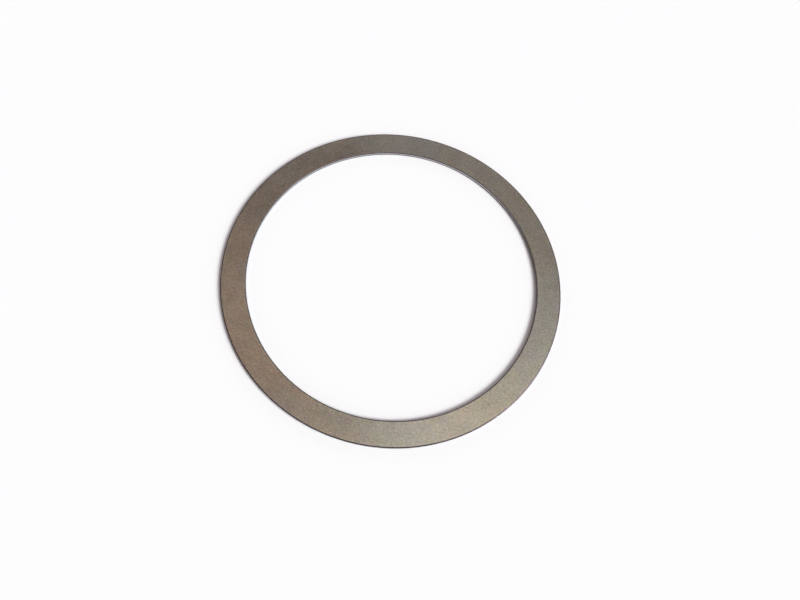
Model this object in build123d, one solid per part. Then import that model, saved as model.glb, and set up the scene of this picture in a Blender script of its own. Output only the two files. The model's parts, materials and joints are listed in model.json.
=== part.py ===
from build123d import *
import os

# A shim ring: one flat ring blanked from steel sheet. A compound die cuts the rim and the bore in
# the same stroke, so both are sheared from the upper face down. Each sheared edge is rolled over
# at the top, straight and burnished below that, and torn slightly back towards the underside.
# Millimetres. The ring's axis is Z and its underside lies on the plane Z = 0.

outside_diameter = 90.0
face_width = 6.5  # along a radius, from the bore to the rim
thickness = 1.0

# The sheared edge, from the upper face down. The bore has the rim's section the other way round.
roll_width = 0.25  # how far from the edge the upper face starts to fall
roll_depth = 0.12  # how far it has fallen at the edge
land_height = 0.45  # the straight, burnished band
tear_setback = 0.05  # how far the torn band has fallen back where it meets the underside
deburr_radius = 0.08  # on the edges of the underside, rounded by tumbling

# Two half-round handling nicks, one in each edge. Angles are counted from +X towards +Y.
rim_nick_radius = 0.28
rim_nick_angle = -42.8
bore_nick_radius = 0.16
bore_nick_angle = 155.6

rim_radius = outside_diameter / 2
bore_radius = rim_radius - face_width


def half_section():
    """Half of the ring's section, from the middle of its face at X = 0 to a sheared edge at +X."""
    edge = face_width / 2
    land_top = thickness - roll_depth
    land_foot = land_top - land_height
    with BuildSketch() as half:
        with BuildLine():
            face = Line((0, thickness), (edge - roll_width, thickness))
            TangentArc(face @ 1, (edge, land_top), tangent=face % 1)
            land = Line((edge, land_top), (edge, land_foot))
            Polyline(land @ 1, (edge - tear_setback, 0), (0, 0), face @ 0)
        make_face()
        torn_foot = half.vertices().sort_by_distance((edge, 0))[0]
        fillet(torn_foot, deburr_radius)
    return half.sketch


def blank():
    """The ring as it leaves the die and the tumbler: its section, turned once about Z."""
    half = half_section()
    section = half + mirror(half, Plane.YZ)
    standing = Plane.XZ * Pos(bore_radius + face_width / 2, 0) * section
    return revolve(standing, Axis.Z)


def nick(edge_radius, radius, angle):
    """The cutter for a half-round nick through the sheared edge at this radius."""
    upright = Cylinder(radius, 2 * thickness)
    return Rot(0, 0, angle) * Pos(edge_radius, 0, thickness / 2) * upright


shim_ring = blank()
shim_ring -= nick(rim_radius, rim_nick_radius, rim_nick_angle)
shim_ring -= nick(bore_radius, bore_nick_radius, bore_nick_angle)

os.makedirs("parts", exist_ok=True)
export_step(shim_ring, "parts/shim_ring.step")
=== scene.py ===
import json
import math

import bpy
from mathutils import Matrix, Vector

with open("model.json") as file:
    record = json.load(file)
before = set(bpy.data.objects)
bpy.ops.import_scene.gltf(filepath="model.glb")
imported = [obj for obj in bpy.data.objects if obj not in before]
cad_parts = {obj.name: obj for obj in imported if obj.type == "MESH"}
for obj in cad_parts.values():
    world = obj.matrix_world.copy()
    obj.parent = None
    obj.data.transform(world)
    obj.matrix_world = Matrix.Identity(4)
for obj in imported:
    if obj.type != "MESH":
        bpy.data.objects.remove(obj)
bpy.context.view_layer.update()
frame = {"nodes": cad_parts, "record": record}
print("frame loaded")


# a value is a number, a colour or a vector for the socket, or another node's output to wire to it
def setSocket(tree, socket, value):
    if isinstance(value, bpy.types.NodeSocket):
        tree.links.new(value, socket)
    else:
        socket.default_value = value


def addNode(tree, kind, values=None, **settings):
    node = tree.nodes.new(kind)
    for name, value in settings.items():
        setattr(node, name, value)
    for socket, value in (values or {}).items():
        setSocket(tree, node.inputs[socket], value)
    return node


def addMath(tree, operation, first, second, third=0.0):
    return addNode(tree, "ShaderNodeMath", {0: first, 1: second, 2: third}, operation=operation).outputs[0]


def addVector(tree, operation, first, second):
    return addNode(tree, "ShaderNodeVectorMath", {0: first, 1: second}, operation=operation).outputs["Vector"]


# eased: start at or below low, end at or above high
def addStep(tree, value, low, high, start=0.0, end=1.0):
    wanted = {"Value": value, "From Min": low, "From Max": high, "To Min": start, "To Max": end}
    return addNode(tree, "ShaderNodeMapRange", wanted, interpolation_type="SMOOTHSTEP").outputs[0]


# 1 below the place and 0 above it, eased over the width
def addFade(tree, value, place, width):
    return addStep(tree, value, place - width / 2, place + width / 2, 1.0, 0.0)


def addMix(tree, share, first, second, blend="MIX"):
    wanted = {0: share, 6: first, 7: second}
    return addNode(tree, "ShaderNodeMix", wanted, data_type="RGBA", blend_type=blend).outputs[2]


def addBlend(tree, share, first, second):
    return addNode(tree, "ShaderNodeMix", {0: share, 2: first, 3: second}, data_type="FLOAT").outputs[0]


# size is that of the largest patches; Fac and Color are spread evenly about a half
def addNoise(tree, place, size, detail, roughness):
    scale = addMath(tree, "DIVIDE", 1.0, size)
    wanted = {"Vector": place, "Scale": scale, "Detail": detail, "Roughness": roughness}
    return addNode(tree, "ShaderNodeTexNoise", wanted).outputs


# the same, as one number spread evenly about 0
def addPatches(tree, place, size, detail=2.0, roughness=0.5):
    return addMath(tree, "SUBTRACT", addNoise(tree, place, size, detail, roughness)["Fac"], 0.5)


def newGroup(name, inputs, outputs):
    group = bpy.data.node_groups.new(name, "ShaderNodeTree")
    for label, kind, value in inputs:
        socket = group.interface.new_socket(label, in_out="INPUT", socket_type="NodeSocket" + kind)
        socket.default_value = value
    for label, kind in outputs:
        group.interface.new_socket(label, in_out="OUTPUT", socket_type="NodeSocket" + kind)
    return group, group.nodes.new("NodeGroupInput").outputs, group.nodes.new("NodeGroupOutput").inputs


def addGroup(tree, group, values):
    node = tree.nodes.new("ShaderNodeGroup")
    node.node_tree = group
    for label, value in values.items():
        setSocket(tree, node.inputs[label], value)
    return node.outputs


def newMaterial(name):
    material = bpy.data.materials.new(name)
    material.use_nodes = True
    material.node_tree.nodes.clear()
    return material, material.node_tree


millimetresPerMetre = 1000

# sizes in the ring's material are millimetres, but for reliefDepth
ringLook = {
    "faceColour": (0.54, 0.534, 0.449, 1),
    "faceRoughness": 0.40,
    "grainSize": 0.5,
    "grainContrast": 1.35,
    "grainRoughness": 0.25,  # how much duller the light grains are than the dark
    "pitSize": 0.175,
    "pitDepth": 0.4,  # as a share of the grain's
    "blotchSize": 2.6,
    "blotchContrast": 0.36,
    "speckleSize": 4.0,
    "speckleContrast": 0.085,
    "cloudSize": 35.0,
    "cloudContrast": 0.95,
    "cloudShift": (251.2, 663.8, 1.5),  # picks the stretch of noise that the clouds of tone come from
    "tintContrast": 1.6,
    "tintShift": (173.8, 1313.8, 1.5),  # the same for the clouds of tint
    "greyTint": (0.9, 1.0, 1.1, 1),
    "brownTint": (1.1, 1.0, 0.9, 1),
    # painted shade: the dark, purplish, less metallic line along both edges, with its widths and fade
    "edgeShadeColour": (0.06, 0.041, 0.049, 1),
    "edgeShadeMetal": 0.5,
    "rimShadeWidth": 0.308,
    "boreShadeWidth": 0.208,
    "edgeShadeFade": 0.16,
    "wallDepth": 0.12,  # how far in from the edges the wall reaches, with its setback and rounded foot
    "wallFade": 0.04,
    "landColour": (0.455, 0.455, 0.485, 1),
    "landRoughness": 0.2,
    "landShade": 0.95,
    "streakSize": 0.12,
    "streakStretch": (1, 1, 0.06),  # the smaller, the further the streaks run down the wall
    "streakContrast": 0.5,
    "streakDepth": 0.25,
    # the torn band's duller colour, darkened further as painted shade at the wall's foot
    "tearAndFootShadeColour": (0.108, 0.104, 0.112, 1),
    "tearRoughness": 0.55,
    "tearFade": 0.06,
    "raggedSize": 0.35,
    "raggedDepth": 0.3,
    "tearGrainSize": 0.08,
    "reliefStrength": 0.5,
    "reliefDepth": 0.00002,  # metres
}


# where a point of a flat ring lies: its distance in from each edge and its height
def makeRingPlace():
    group, given, result = newGroup(
        "ringPlace",
        [("Position", "Vector", (0, 0, 0)), ("Rim Radius", "Float", 45.0), ("Bore Radius", "Float", 38.5)],
        [("Millimetres", "Vector"), ("From Rim", "Float"), ("From Bore", "Float"), ("Height", "Float")],
    )
    millimetres = addVector(group, "MULTIPLY", given["Position"], (millimetresPerMetre,) * 3)
    flat = addVector(group, "MULTIPLY", millimetres, (1, 1, 0))
    radius = addNode(group, "ShaderNodeVectorMath", {0: flat}, operation="LENGTH").outputs["Value"]
    group.links.new(millimetres, result["Millimetres"])
    group.links.new(addMath(group, "SUBTRACT", given["Rim Radius"], radius), result["From Rim"])
    group.links.new(addMath(group, "SUBTRACT", radius, given["Bore Radius"]), result["From Bore"])
    group.links.new(addNode(group, "ShaderNodeSeparateXYZ", {0: millimetres}).outputs["Z"], result["Height"])
    return group


# the matt, mottled skin that tumbling in stone chips leaves: fine grain and pits, blotches and a speckle
# of colour; and slow clouds that make the face lighter and darker, browner and greyer, at places picked by
# the shifts
def makeTumbledSkin():
    group, given, result = newGroup(
        "tumbledSkin",
        [
            ("Millimetres", "Vector", (0, 0, 0)),
            ("Grain Size", "Float", 0.6),
            ("Pit Size", "Float", 0.2),
            ("Blotch Size", "Float", 2.5),
            ("Speckle Size", "Float", 4.0),
            ("Cloud Size", "Float", 35.0),
            ("Cloud Shift", "Vector", (0, 0, 0)),
            ("Tint Shift", "Vector", (0, 0, 0)),
        ],
        [
            ("Grain", "Float"),
            ("Blotch", "Float"),
            ("Speckle", "Color"),
            ("Cloud", "Float"),
            ("Tint", "Float"),
            ("Pitting", "Float"),
        ],
    )
    place = given["Millimetres"]
    cloudPlace = addVector(group, "ADD", place, given["Cloud Shift"])
    tintPlace = addVector(group, "ADD", place, given["Tint Shift"])
    grain = addPatches(group, place, given["Grain Size"], detail=3.0, roughness=0.7)
    blotch = addPatches(group, place, given["Blotch Size"], roughness=0.6)
    speckle = addNoise(group, tintPlace, given["Speckle Size"], detail=4.0, roughness=0.9)["Color"]
    cloud = addPatches(group, cloudPlace, given["Cloud Size"])
    tint = addPatches(group, tintPlace, given["Cloud Size"], detail=3.0, roughness=0.6)
    pitting = addPatches(group, cloudPlace, given["Pit Size"], roughness=0.6)
    group.links.new(grain, result["Grain"])
    group.links.new(blotch, result["Blotch"])
    group.links.new(speckle, result["Speckle"])
    group.links.new(cloud, result["Cloud"])
    group.links.new(tint, result["Tint"])
    group.links.new(pitting, result["Pitting"])
    return group


# the foot and the top of the burnished land, in millimetres above the underside
def landHeights():
    bore = next(mount for mount in frame["record"]["mounts"] if mount["name"] == "bore")
    middle, length = bore["pos_m"][2] * millimetresPerMetre, bore["dims"]["length_mm"]
    return middle - length / 2, middle + length / 2


def addFaceColour(tree, look, skin):
    shade = addMath(tree, "MULTIPLY_ADD", skin["Grain"], look["grainContrast"], 1.0)
    shade = addMath(tree, "MULTIPLY_ADD", skin["Blotch"], look["blotchContrast"], shade)
    shade = addMath(tree, "MULTIPLY_ADD", skin["Cloud"], look["cloudContrast"], shade)
    brownness = addMath(tree, "MULTIPLY_ADD", skin["Tint"], look["tintContrast"], 0.5)
    tint = addMix(tree, brownness, look["greyTint"], look["brownTint"])
    colour = addMix(tree, look["speckleContrast"], look["faceColour"], skin["Speckle"], "LINEAR_LIGHT")
    colour = addMix(tree, 1.0, colour, tint, "MULTIPLY")
    return addMix(tree, 1.0, colour, shade, "MULTIPLY")


# painted shade: a dark line along both edges, where the face rolls over into the sheared wall, standing in
# for the shade and dark reflection of the rolled edge
def addPaintedEdgeShade(tree, look, place):
    rimShade = addFade(tree, place["From Rim"], look["rimShadeWidth"], look["edgeShadeFade"])
    boreShade = addFade(tree, place["From Bore"], look["boreShadeWidth"], look["edgeShadeFade"])
    return addMath(tree, "MAXIMUM", rimShade, boreShade)


# the sheared wall: a burnished land, drawn out in fine streaks, above a torn band, whose dark colour is
# partly the duller torn steel and partly painted shade at the wall's foot
def addShearedWall(tree, look, place):
    landFoot, landTop = landHeights()
    millimetres, height = place["Millimetres"], place["Height"]
    fromEdge = addMath(tree, "MINIMUM", place["From Rim"], place["From Bore"])
    nearEdge = addFade(tree, fromEdge, look["wallDepth"], look["wallFade"])
    belowRoll = addFade(tree, height, landTop, look["wallFade"])

    ragged = addPatches(tree, millimetres, look["raggedSize"], detail=3.0, roughness=0.6)
    raggedHeight = addMath(tree, "MULTIPLY_ADD", ragged, look["raggedDepth"], height)
    torn = addFade(tree, raggedHeight, landFoot, look["tearFade"])
    drawnOut = addVector(tree, "MULTIPLY", millimetres, look["streakStretch"])
    streaks = addPatches(tree, drawnOut, look["streakSize"])
    landShade = addMath(tree, "MULTIPLY_ADD", streaks, look["streakContrast"], look["landShade"])
    landColour = addMix(tree, 1.0, look["landColour"], landShade, "MULTIPLY")
    tearGrain = addPatches(tree, millimetres, look["tearGrainSize"], detail=3.0, roughness=0.65)
    tearRelief = addMath(tree, "MULTIPLY", tearGrain, torn)
    return {
        "share": addMath(tree, "MULTIPLY", nearEdge, belowRoll),
        # painted shade: the torn band's dark colour also stands in for shade at the foot of the wall
        "colour": addMix(tree, torn, landColour, look["tearAndFootShadeColour"]),
        "roughness": addBlend(tree, torn, look["landRoughness"], look["tearRoughness"]),
        "relief": addMath(tree, "MULTIPLY_ADD", streaks, look["streakDepth"], tearRelief),
    }


def makeRingSteel(look, ringPlace, tumbledSkin):
    dims = {mount["name"]: mount["dims"] for mount in frame["record"]["mounts"]}
    material, tree = newMaterial("tumbledSteel")
    place = addGroup(tree, ringPlace, {
        "Position": addNode(tree, "ShaderNodeTexCoord").outputs["Object"],
        "Rim Radius": dims["rim"]["r_mm"],
        "Bore Radius": dims["bore"]["r_mm"],
    })
    skin = addGroup(tree, tumbledSkin, {
        "Millimetres": place["Millimetres"],
        "Grain Size": look["grainSize"],
        "Pit Size": look["pitSize"],
        "Blotch Size": look["blotchSize"],
        "Speckle Size": look["speckleSize"],
        "Cloud Size": look["cloudSize"],
        "Cloud Shift": look["cloudShift"],
        "Tint Shift": look["tintShift"],
    })
    edgeShadeShare = addPaintedEdgeShade(tree, look, place)
    wall = addShearedWall(tree, look, place)

    # painted shade: the dark edge line laid over the face's colour and metalness along both edges
    colour = addMix(tree, edgeShadeShare, addFaceColour(tree, look, skin), look["edgeShadeColour"])
    metal = addBlend(tree, edgeShadeShare, 1.0, look["edgeShadeMetal"])
    roughness = addMath(tree, "MULTIPLY_ADD", skin["Grain"], look["grainRoughness"], look["faceRoughness"])
    relief = addMath(tree, "MULTIPLY_ADD", skin["Pitting"], look["pitDepth"], skin["Grain"])
    bump = addNode(tree, "ShaderNodeBump", {
        "Strength": look["reliefStrength"],
        "Distance": look["reliefDepth"],
        "Height": addBlend(tree, wall["share"], relief, wall["relief"]),
    }).outputs[0]
    surface = addNode(tree, "ShaderNodeBsdfPrincipled", {
        "Base Color": addMix(tree, wall["share"], colour, wall["colour"]),
        "Metallic": addBlend(tree, wall["share"], metal, 1.0),
        "Roughness": addBlend(tree, wall["share"], roughness, wall["roughness"]),
        "Normal": bump,
    }).outputs[0]
    addNode(tree, "ShaderNodeOutputMaterial", {"Surface": surface})
    return material


ring = frame["nodes"]["shim_ring"]
ring.data.materials[0] = makeRingSteel(ringLook, makeRingPlace(), makeTumbledSkin())
print("ring finished")


stageLook = {
    "floorSize": 6.0,
    "floorColour": (0.937, 0.957, 0.965, 1),
    # one tall soft window on the right, as two suns: degrees round from +X, degrees up, degrees across
    "windows": {
        "lowerWindow": {"turn": -21.8, "rise": 38.9, "spread": 31.5, "strength": 3.5},
        "upperWindow": {"turn": -4.4, "rise": 71.1, "spread": 34.0, "strength": 0.33},
    },
    "backdrop": (0.8, 0.82, 0.88, 1),
    "ceiling": (0.02, 0.02, 0.029, 1),
    "backdropTop": (0.3, 0.55),  # sines of the angles between which the backdrop gives way to the ceiling
    # soft patches of light on the backdrop and the ceiling; start is the cosine at which each begins
    "glows": {
        "warm": {"turn": 161.0, "rise": 69.0, "start": 0.6, "colour": (0.268, 0.144, 0.09, 1)},
        "far": {"turn": 97.0, "rise": 32.0, "start": 0.88, "colour": (0.111, 0.172, 0.254, 1)},
    },
}


def towards(turn, rise):
    turn, rise = math.radians(turn), math.radians(rise)
    return Vector((math.cos(rise) * math.cos(turn), math.cos(rise) * math.sin(turn), math.sin(rise)))


def makeFloor(look):
    half = look["floorSize"] / 2
    corners = [(-half, -half, 0), (half, -half, 0), (half, half, 0), (-half, half, 0)]
    mesh = bpy.data.meshes.new("floor")
    mesh.from_pydata(corners, [], [(0, 1, 2, 3)])
    floor = bpy.data.objects.new("floor", mesh)
    bpy.context.scene.collection.objects.link(floor)
    material, tree = newMaterial("paleFloor")
    surface = addNode(tree, "ShaderNodeBsdfDiffuse", {"Color": look["floorColour"]}).outputs[0]
    addNode(tree, "ShaderNodeOutputMaterial", {"Surface": surface})
    mesh.materials.append(material)


def makeWindow(name, look):
    lamp = bpy.data.lights.new(name, "SUN")
    lamp.energy = look["strength"]
    lamp.angle = math.radians(look["spread"])
    window = bpy.data.objects.new(name, lamp)
    window.rotation_euler = towards(look["turn"], look["rise"]).to_track_quat("Z", "Y").to_euler()
    bpy.context.scene.collection.objects.link(window)


def makeRoom(look):
    world = bpy.data.worlds.new("room")
    bpy.context.scene.world = world
    world.use_nodes = True
    tree = world.node_tree
    tree.nodes.clear()
    direction = addNode(tree, "ShaderNodeTexCoord").outputs["Generated"]
    rise = addNode(tree, "ShaderNodeSeparateXYZ", {0: direction}).outputs["Z"]
    colour = addMix(tree, addStep(tree, rise, *look["backdropTop"]), look["backdrop"], look["ceiling"])
    for glow in look["glows"].values():
        aim = {0: direction, 1: towards(glow["turn"], glow["rise"])}
        nearness = addNode(tree, "ShaderNodeVectorMath", aim, operation="DOT_PRODUCT").outputs["Value"]
        colour = addMix(tree, addStep(tree, nearness, glow["start"], 1.0), colour, glow["colour"], "ADD")
    surface = addNode(tree, "ShaderNodeBackground", {"Color": colour, "Strength": 1.0}).outputs[0]
    addNode(tree, "ShaderNodeOutputWorld", {"Surface": surface})


makeFloor(stageLook)
for windowName, windowLook in stageLook["windows"].items():
    makeWindow(windowName, windowLook)
makeRoom(stageLook)
print("stage lit")


# the camera stands above the near side, tipped a little to the right
cameraView = {
    "aim": (0.002998, -0.00602, 0.0),
    "distance": 0.164012,
    "elevation": 67.648,
    "roll": 13.216,
    "lens": 28.125,
    "clipStart": 0.01,
}


def makeCamera(view):
    rise, roll = math.radians(view["elevation"]), math.radians(view["roll"])
    back = Vector((0, -math.cos(rise), math.sin(rise)))
    levelRight = Vector((1, 0, 0))
    levelUp = back.cross(levelRight)
    right = levelRight * math.cos(roll) + levelUp * math.sin(roll)
    up = levelUp * math.cos(roll) - levelRight * math.sin(roll)
    data = bpy.data.cameras.new("camera")
    data.lens = view["lens"]
    data.clip_start = view["clipStart"]
    camera = bpy.data.objects.new("camera", data)
    turned = Matrix((right, up, back)).transposed().to_4x4()
    camera.matrix_world = Matrix.Translation(Vector(view["aim"]) + back * view["distance"]) @ turned
    bpy.context.scene.collection.objects.link(camera)
    bpy.context.scene.camera = camera


makeCamera(cameraView)
bpy.context.scene.view_settings.view_transform = "Standard"
print("camera placed")
